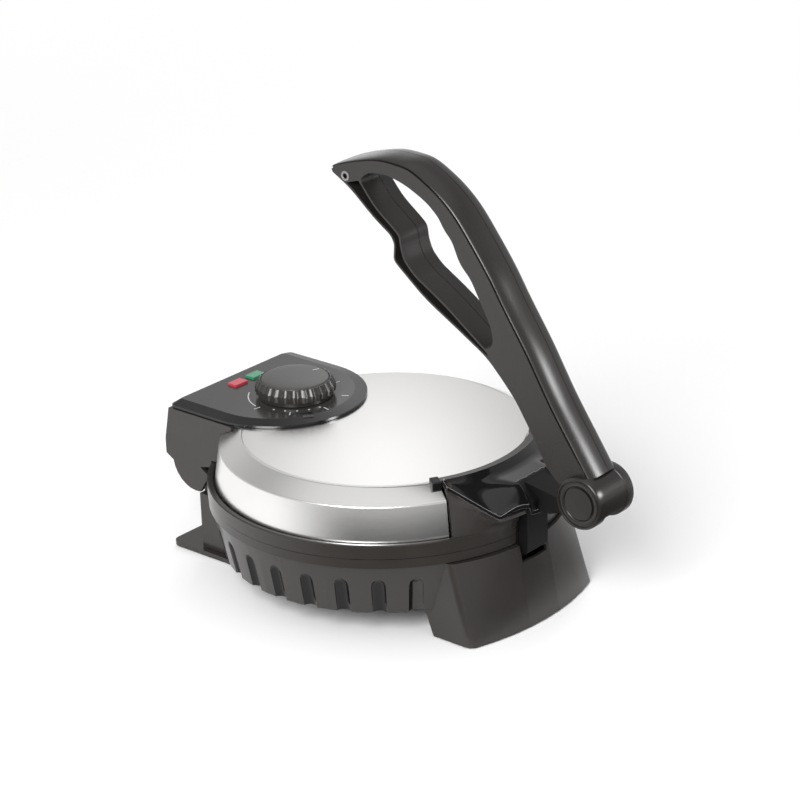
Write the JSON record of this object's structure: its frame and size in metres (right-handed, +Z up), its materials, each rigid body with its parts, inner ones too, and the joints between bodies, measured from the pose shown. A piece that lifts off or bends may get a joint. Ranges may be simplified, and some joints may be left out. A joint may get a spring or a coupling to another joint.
{
  "type": "electric roti maker",
  "caption": "Round countertop flatbread press cooker with a steel domed lid, rear control panel with knob and lamps, splayed feet and a long looped lever handle at the front.",
  "frame": {"origin": "on the table under the middle of the object's bounding box", "axes": "+Z up from the table; -Y towards the handle at the front; +Y towards the lid hinge and control panel; X from side to side, on the lid hinge's axis"},
  "size_m": [0.2488, 0.3496, 0.3057],
  "materials": {
    "case_black": "satin moulded black plastic",
    "handle_black": "satin moulded black plastic",
    "panel_grey": "satin dark grey plastic with printed dial marks",
    "brushed_steel": "bright polished sheet steel",
    "nonstick_plate": "dark non-stick coated cast aluminium",
    "element_sheath": "heat-dulled metal sheath",
    "sheet_metal": "pressed sheet",
    "rubber": "matt",
    "screw_steel": "plated",
    "ceramic": "off-white moulding",
    "glass_wool": "soft felted fibre",
    "red_lens": "glossy translucent",
    "green_lens": "glossy translucent"
  },
  "bodies": {
    "base": {"base_housing": "case_black", "rear_stand": "case_black", "foot_pad_1": "rubber", "foot_pad_2": "rubber", "foot_pad_3": "rubber", "foot_pad_4": "rubber", "bottom_cover": "case_black", "cover_screw_1": "screw_steel", "cover_screw_2": "screw_steel", "cover_screw_3": "screw_steel", "cover_screw_4": "screw_steel", "stand_screw_1": "screw_steel", "stand_screw_2": "screw_steel", "lower_plate": "nonstick_plate", "lower_element": "element_sheath", "lower_reflector": "sheet_metal", "lower_plate_nut": "screw_steel", "terminal_block": "ceramic", "cord_gland": "rubber", "hinge_pin_left": "screw_steel", "hinge_pin_right": "screw_steel"},
    "lid": {"lid_ring": "case_black", "plate_screw_1": "screw_steel", "plate_screw_2": "screw_steel", "plate_screw_3": "screw_steel", "plate_screw_4": "screw_steel", "lid_cover": "brushed_steel", "control_housing": "case_black", "control_panel": "panel_grey", "red_lens": "red_lens", "red_lamp": "ceramic", "green_lens": "green_lens", "green_lamp": "ceramic", "thermostat": "ceramic", "upper_plate": "nonstick_plate", "upper_element": "element_sheath", "upper_reflector": "sheet_metal", "upper_plate_nut": "screw_steel", "insulation_pad": "glass_wool", "thermal_fuse": "ceramic"},
    "temperature_knob": {"knob": "case_black", "knob_cap": "handle_black", "thermostat_spindle": "screw_steel"},
    "handle": {"handle_left": "handle_black", "handle_right": "handle_black", "handle_screw_1": "screw_steel", "handle_screw_2": "screw_steel", "handle_screw_3": "screw_steel", "pivot_pin": "screw_steel", "pivot_cap_left": "handle_black", "pivot_cap_right": "handle_black"}
  },
  "joints": [
    {"name": "lid_hinge", "type": "hinge", "parent": "base", "child": "lid", "pos_m": [0, 0.14675, 0.0685], "axis": [-1, 0, 0], "range_deg": [0, 90]},
    {"name": "handle_swing", "type": "hinge", "parent": "lid", "child": "handle", "pos_m": [0, -0.15675, 0.103], "axis": [1, 0, 0], "range_deg": [-20, 104]},
    {"name": "knob_turn", "type": "hinge", "parent": "lid", "child": "temperature_knob", "pos_m": [0, 0.10575, 0.11], "axis": [0, 0, 1], "range_deg": [-270, 0]}
  ]
}
